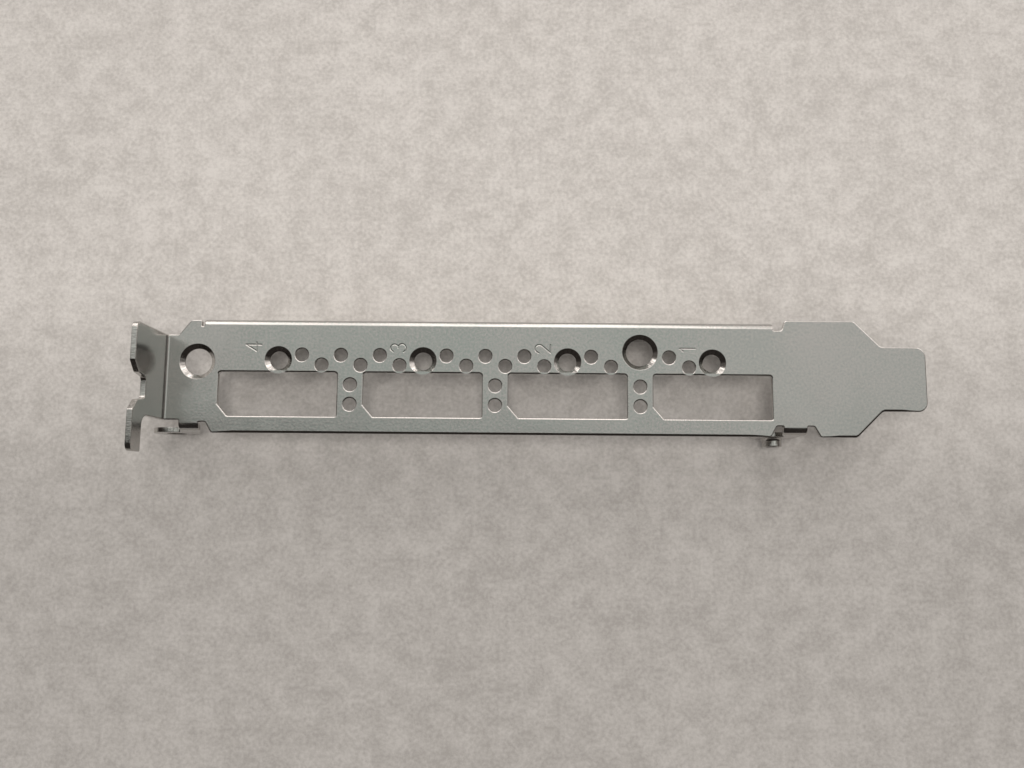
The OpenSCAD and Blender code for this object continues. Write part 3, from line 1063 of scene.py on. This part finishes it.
@dataclass(frozen=True)
class NickelPlate:
    """Bright nickel over cold-rolled sheet: orange-peel grain, rolling lines, sheared walls."""

    cool: Colour = (0.425, 0.45, 0.43)
    warm: Colour = (0.55, 0.525, 0.51)
    wall_light: Colour = (0.68, 0.67, 0.65)
    wall_dark: Colour = (0.36, 0.35, 0.33)
    smooth: float = 0.15
    dull: float = 0.24
    wall_gloss: float = 0.08
    grain: float = 2600.0
    grain_depth: float = 9.0e-6
    wave_depth: float = 2.2e-5
    line_depth: float = 1.2e-6
    mark_depth: float = 1.4e-5

    def make(self) -> bpy.types.Material:
        """Builds the finish from the piece's own coordinates and wall mask."""
        material, n = new_material("nickel_plate")
        place = n.object_place()
        own = n.add("ShaderNodeUVMap", uv_map="sheet_uv").outputs["UV"]
        wall = n.add("ShaderNodeAttribute", attribute_name="sheared").outputs["Fac"]
        drift = n.noise(place, 38.0, 3.0, 0.55)
        stain = n.noise(place, 160.0, 3.0, 0.6)
        peel = n.noise(place, self.grain, 2.0, 0.5)
        waves = n.noise(place, 230.0, 1.0, 0.4)
        lines = n.noise(n.stretched(place, (120.0, 3600.0, 3600.0)), 1.0, 2.0, 0.5)
        marks = n.noise(n.stretched(own, (9.0, 0.9, 1.0)), 1.0, 3.0, 0.65)
        tone = n.spread(n.total((drift, 0.5), (peel, 0.5)), 0.36, 0.64)
        tint = n.mix(tone, self.cool, self.warm)
        wall_tint = n.mix(n.spread(marks, 0.35, 0.65), self.wall_dark, self.wall_light)
        rough = n.spread(stain, 0.3, 0.7, self.smooth, self.dull)
        level = n.bump(waves, self.wave_depth)
        level = n.bump(lines, self.line_depth, onto=level)
        level = n.bump(peel, self.grain_depth, onto=level)
        level = n.bump(n.maths("MULTIPLY", marks, wall), self.mark_depth, onto=level)
        shader = n.add("ShaderNodeBsdfPrincipled", {
            "Metallic": 1.0, "Base Color": n.mix(wall, tint, wall_tint), "Normal": level,
            "Roughness": n.spread(wall, 0.0, 1.0, rough, self.wall_gloss)})
        n.add("ShaderNodeOutputMaterial", {"Surface": shader.outputs[0]})
        return material


@dataclass(frozen=True)
class FoamMat:
    """Pale packing foam: fine closed cells, pressed a little unevenly."""

    light: Colour = (0.67, 0.635, 0.60)
    dark: Colour = (0.50, 0.47, 0.44)
    # Painted shadow: how far the mat's colour is dimmed on its shaded side.
    painted_shadow_level: float = 0.71
    press_depth: float = 2.5e-4
    cell_depth: float = 1.0e-4

    def make(self) -> bpy.types.Material:
        """Builds the foam's finish, with a painted shadow that darkens it on the side away from
        the light.
        """
        material, n = new_material("foam_mat")
        place = n.object_place()
        cells = n.noise(place, 1500.0, 3.0, 0.6)
        press = n.noise(place, 260.0, 4.0, 0.6)
        patch = n.noise(place, 45.0, 2.0, 0.5)
        fleck = n.spread(n.total((cells, 0.45), (press, 0.4), (patch, 0.15)), 0.40, 0.60)
        across = n.add("ShaderNodeSeparateXYZ", {0: place}).outputs[1]
        # Painted shadow: the mat's colour is scaled down towards -y, the plate's lower side,
        # standing in for the soft shade that falls there.
        shade = n.spread(across, -0.018, 0.016, self.painted_shadow_level, 1.0)
        toned = n.add("ShaderNodeVectorMath", {0: n.mix(fleck, self.dark, self.light),
                                               "Scale": shade}, operation="SCALE")
        level = n.bump(press, self.press_depth, 0.6)
        level = n.bump(cells, self.cell_depth, 0.6, level)
        shader = n.add("ShaderNodeBsdfPrincipled", {
            "Roughness": 0.75, "Specular IOR Level": 0.3, "Base Color": toned.outputs[0],
            "Normal": level})
        n.add("ShaderNodeOutputMaterial", {"Surface": shader.outputs[0]})
        return material


@dataclass(frozen=True)
class ReflectionRoom:
    """What the metal reflects: a grey ceiling, a dark side, and tall windows on the other.

    Its own coordinates are directions: x along the plate, y towards the flange, z up.
    """

    ceiling: Colour = (0.66, 0.67, 0.635)
    sides: Colour = (0.15, 0.135, 0.125)
    dark: Colour = (0.035, 0.03, 0.027)
    window: Colour = (2.6, 2.42, 2.3)
    curtain: Colour = (0.95, 0.88, 0.84)

    def make(self) -> bpy.types.Material:
        """Builds the glow from the dome's own coordinates."""
        material, n = new_material("reflection_room")
        place = n.object_place()
        x, y, z = n.add("ShaderNodeSeparateXYZ", {0: place}).outputs
        high = n.spread(z, 0.45, 0.85)
        lit_side = n.spread(n.total((y, 1.0), (x, 0.15)), -0.08, 0.05)
        panes = n.maths("MULTIPLY", n.spread(n.total((y, 1.0), (x, 0.2)), 0.36, 0.52),
                        n.spread(z, 0.03, 0.12))
        bars = n.spread(n.noise(n.stretched(place, (5.0, 1.2, 0.4)), 1.0, 2.0, 0.6), 0.44, 0.54)
        room = n.mix(lit_side, self.dark, n.mix(high, self.sides, self.ceiling))
        room = n.mix(panes, room, n.mix(bars, self.curtain, self.window))
        glow = n.add("ShaderNodeEmission", {"Color": room})
        n.add("ShaderNodeOutputMaterial", {"Surface": glow.outputs[0]})
        return material


@dataclass
class Bracket:
    """The dressed bracket: the folded sheet in its finish, standing for the CAD node."""

    sheet: FoldedSheet = field(default_factory=FoldedSheet)
    finish: NickelPlate = field(default_factory=NickelPlate)
    node: str = "bracket"
    body: str = "root"

    def origin(self) -> Array:
        """The drawing's zero in the row frame, from the CAD node's box."""
        lo, hi = (np.array(corner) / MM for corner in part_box(self.node))
        s = self.sheet.size
        return np.array([hi[0] - s.overall_len, lo[1] + s.ear_reach, hi[2] - s.tab_h])

    def build(self) -> bpy.types.Object:
        """Makes the piece, dresses it and hands it to the frame."""
        piece = self.sheet.build().to_object("folded_sheet", self.origin())
        piece.data.materials.append(self.finish.make())
        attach(piece, self.body)
        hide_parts(self.node)
        return piece


@dataclass(frozen=True)
class Panel:
    """One soft light panel over the mat, which no reflection shows."""

    name: str
    at: tuple[float, float, float]
    aim: tuple[float, float, float]
    size: tuple[float, float]
    power: float
    colour: Colour = (1.0, 0.97, 0.94)

    def hang(self) -> None:
        """Hangs the panel at its place, facing the point that it aims at."""
        data = bpy.data.lights.new(self.name, "AREA")
        data.shape = "RECTANGLE"
        data.size, data.size_y = self.size
        data.energy = self.power
        data.color = self.colour
        light = bpy.data.objects.new(self.name, data)
        bpy.context.scene.collection.objects.link(light)
        light.location = self.at
        facing = Vector(self.aim) - Vector(self.at)
        light.rotation_euler = facing.to_track_quat("-Z", "Y").to_euler()
        light.visible_glossy = False


@dataclass
class Studio:
    """Foam mat, soft lights and camera round the bracket."""

    mat_half: float = 1.6
    focal: float = 31.36
    camera_at: tuple[float, float, float] = (-0.00273, -0.017225, 0.15112)
    nod: float = -7.30
    lean: float = -0.09
    spin: float = -0.462
    room_tint: Colour = (1.0, 0.975, 0.95)
    room_light: float = 0.58
    panels: tuple[Panel, ...] = (
        Panel("soft_panel", (0.12, 0.62, 0.80), (0, 0, 0), (0.9, 0.7), 2.3),
        Panel("top_panel", (0, -0.01, 0.3), (0, -0.01, 0), (0.06, 0.06), 0.27))

    def lay_mat(self) -> bpy.types.Object:
        """Lays the foam mat under the bracket."""
        h = self.mat_half
        mesh = bpy.data.meshes.new("foam_mat")
        mesh.from_pydata([(-h, -h, 0), (h, -h, 0), (h, h, 0), (-h, h, 0)], [], [(0, 1, 2, 3)])
        mat = bpy.data.objects.new("foam_mat", mesh)
        bpy.context.scene.collection.objects.link(mat)
        mat.data.materials.append(FoamMat().make())
        return mat

    def place_camera(self) -> bpy.types.Object:
        """Places the camera over the plate, nodding a little towards the flange."""
        data = bpy.data.cameras.new("camera")
        data.lens = self.focal
        data.sensor_width = 36.0
        data.clip_start = 0.005
        data.clip_end = 20.0
        data.dof.use_dof = False
        camera = bpy.data.objects.new("camera", data)
        bpy.context.scene.collection.objects.link(camera)
        to_camera = (Matrix.Rotation(math.radians(self.spin), 3, "Z")
                     @ Matrix.Rotation(math.radians(self.nod), 3, "X")
                     @ Matrix.Rotation(math.radians(self.lean), 3, "Y"))
        camera.matrix_world = Matrix.Translation(self.camera_at) @ to_camera.transposed().to_4x4()
        bpy.context.scene.camera = camera
        return camera

    def raise_dome(self) -> bpy.types.Object:
        """Raises the dome that only the metal's reflections see.

        Point (i, k) of the dome is the direction at azimuth i and height k, one metre
        out, so that its own coordinates are directions.
        """
        around, up = 48, 12
        az = 2 * math.pi * np.arange(around)[:, None] / around
        el = np.linspace(-0.02, math.pi / 2 - 0.02, up)
        ring = np.stack(np.broadcast_arrays(np.cos(el) * np.cos(az), np.cos(el) * np.sin(az),
                                            np.sin(el)), axis=2)
        ids = np.arange(around * up).reshape(around, up)
        faces = quad_corners(ids, np.roll(ids, -1, axis=0)).reshape(-1, 4)
        mesh = bpy.data.meshes.new("reflection_dome")
        mesh.from_pydata(ring.reshape(-1, 3).tolist(), [],
                         faces.tolist() + [ids[:, -1].tolist()])
        mesh.materials.append(ReflectionRoom().make())
        dome = bpy.data.objects.new("reflection_dome", mesh)
        bpy.context.scene.collection.objects.link(dome)
        dome.visible_camera = False
        dome.visible_diffuse = False
        dome.visible_shadow = False
        dome.visible_transmission = False
        return dome

    def light_room(self) -> None:
        """Sets an even room light, and the soft panels over the mat."""
        world = bpy.data.worlds.new("room")
        bpy.context.scene.world = world
        world.use_nodes = True
        n = NodeSheet(world.node_tree)
        back = n.add("ShaderNodeBackground", {"Color": self.room_tint,
                                              "Strength": self.room_light})
        n.add("ShaderNodeOutputWorld", {"Surface": back.outputs[0]})
        for panel in self.panels:
            panel.hang()


def main() -> None:
    """Builds the bracket and its setting, and reports each piece."""
    logging.basicConfig(level=logging.INFO, format="%(name)s: %(message)s")
    bpy.context.scene.view_settings.view_transform = "Standard"
    studio = Studio()
    studio.place_camera()
    piece = Bracket().build()
    LOG.info("%s: %d points, %d faces", piece.name, len(piece.data.vertices),
             len(piece.data.polygons))
    studio.lay_mat()
    studio.raise_dome()
    studio.light_room()
    LOG.info("mat, room, window light and camera set")


if __name__ == "__main__":
    main()
